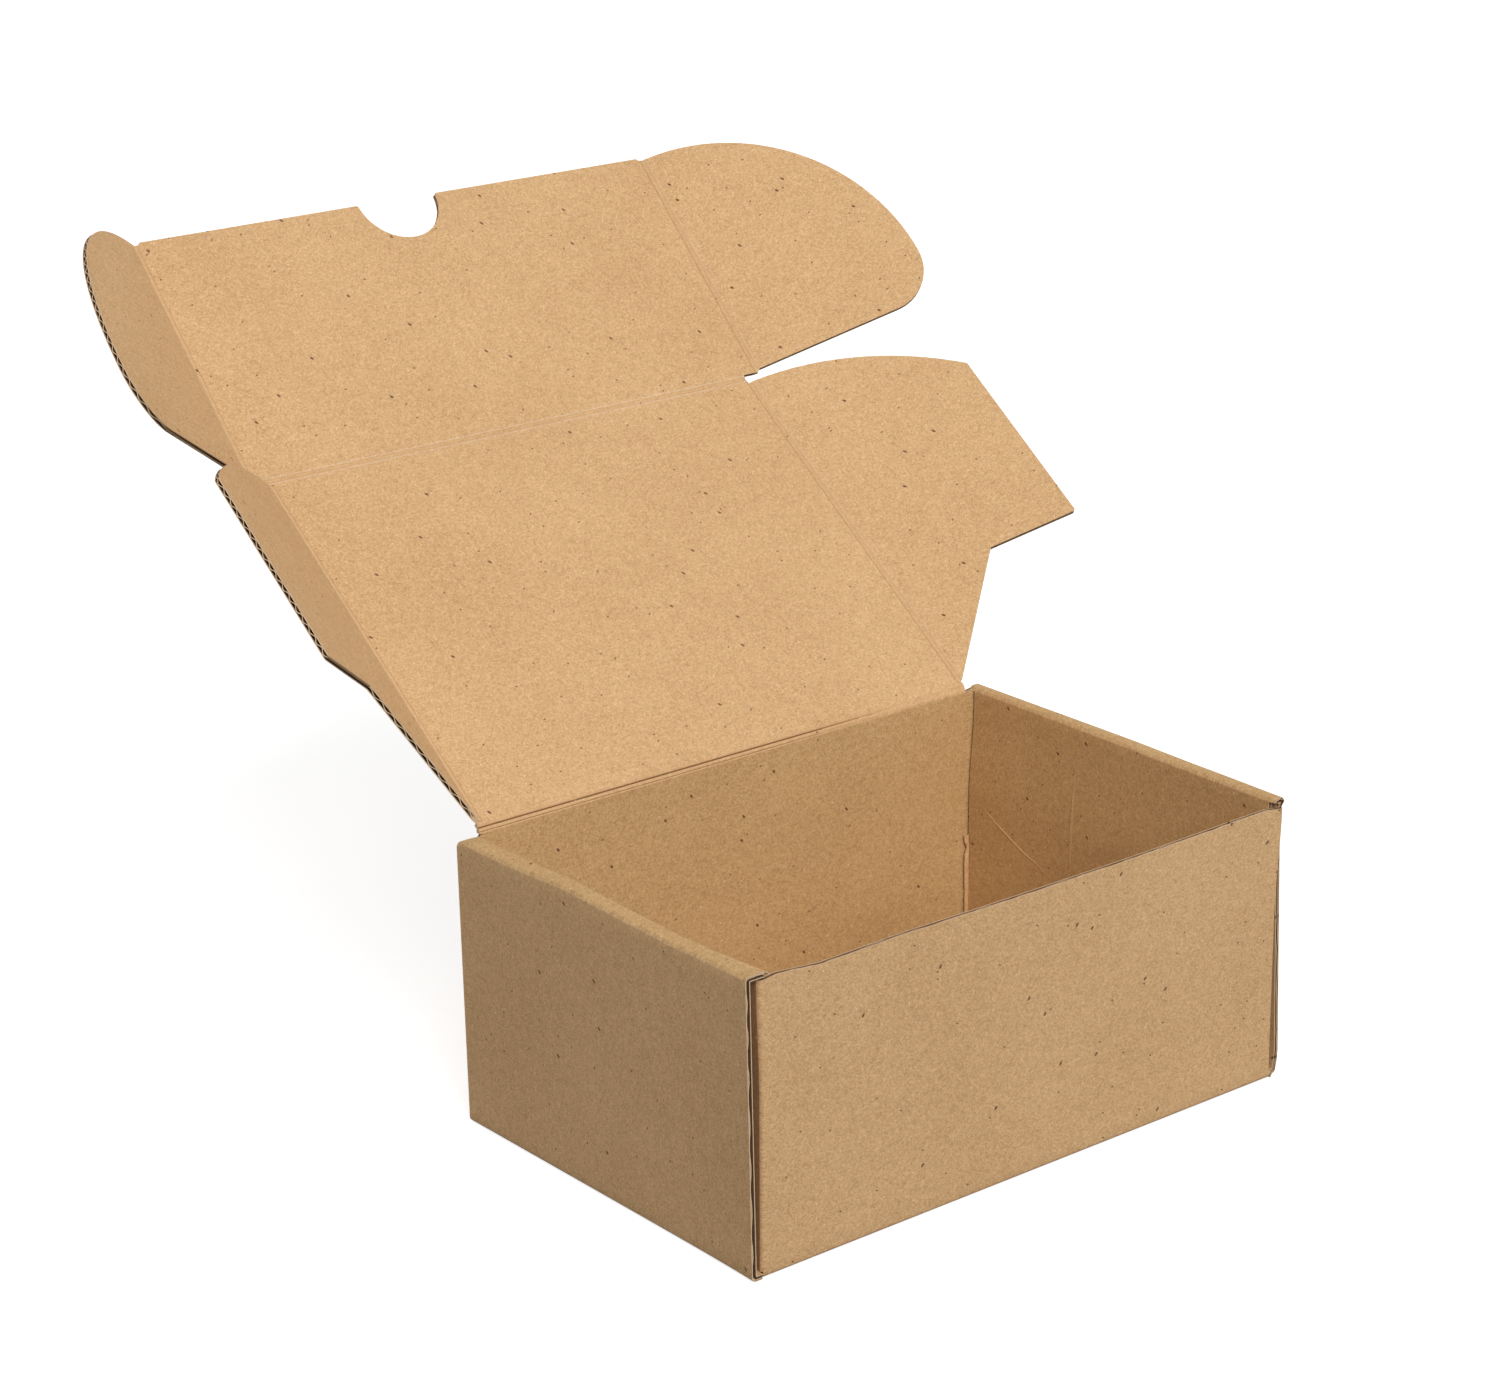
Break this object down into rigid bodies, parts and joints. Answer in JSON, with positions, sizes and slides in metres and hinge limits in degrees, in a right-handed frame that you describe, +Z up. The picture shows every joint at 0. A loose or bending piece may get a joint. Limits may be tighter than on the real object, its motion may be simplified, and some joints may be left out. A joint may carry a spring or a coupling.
{
  "type": "open cardboard mailing box",
  "caption": "Folded corrugated board box with double side walls, a hinged lid with ears that stands open, and a tuck flap with locking ears and a thumb notch.",
  "frame": {"origin": "middle of the base's underside, on the surface that the box stands on", "axes": "+X to the right along the front, +Y to the back where the lid is hinged, +Z up"},
  "size_m": [0.2758, 0.2636, 0.2155],
  "materials": {
    "kraft_board": "uncoated brown kraft liner, matt, with short fibres and small dark flecks"
  },
  "bodies": {
    "tray": {"tray": "kraft_board"},
    "lid": {"lid_panel": "kraft_board"},
    "tuck_flap": {"tuck_panel": "kraft_board"},
    "left_lid_ear": {"lid_ear_left": "kraft_board"},
    "right_lid_ear": {"lid_ear_right": "kraft_board"},
    "left_tuck_ear": {"tuck_ear_left": "kraft_board"},
    "right_tuck_ear": {"tuck_ear_right": "kraft_board"}
  },
  "joints": [
    {"name": "lid_hinge", "type": "hinge", "parent": "tray", "child": "lid", "pos_m": [0, 0.0575, 0.079], "axis": [1, 0, 0], "range_deg": [-45, 105]},
    {"name": "tuck_hinge", "type": "hinge", "parent": "lid", "child": "tuck_flap", "pos_m": [0, 0.15078, 0.14929], "axis": [1, 0, 0], "range_deg": [-19.1, 38]},
    {"name": "lid_ear_left_hinge", "type": "hinge", "parent": "lid", "child": "left_lid_ear", "pos_m": [-0.081, 0.0575, 0.079], "axis": [0, 0.7986, 0.6018], "range_deg": [-53.7, 46.3]},
    {"name": "lid_ear_right_hinge", "type": "hinge", "parent": "lid", "child": "right_lid_ear", "pos_m": [0.081, 0.0575, 0.079], "axis": [0, -0.7986, -0.6018], "range_deg": [-27.4, 72.6]},
    {"name": "tuck_ear_left_hinge", "type": "hinge", "parent": "tuck_flap", "child": "left_tuck_ear", "pos_m": [-0.08575, 0.15078, 0.14929], "axis": [0, 0.6934, 0.7206], "range_deg": [-53.5, 46.5]},
    {"name": "tuck_ear_right_hinge", "type": "hinge", "parent": "tuck_flap", "child": "right_tuck_ear", "pos_m": [0.08575, 0.15078, 0.14929], "axis": [0, -0.6934, -0.7206], "range_deg": [-31, 69]}
  ]
}
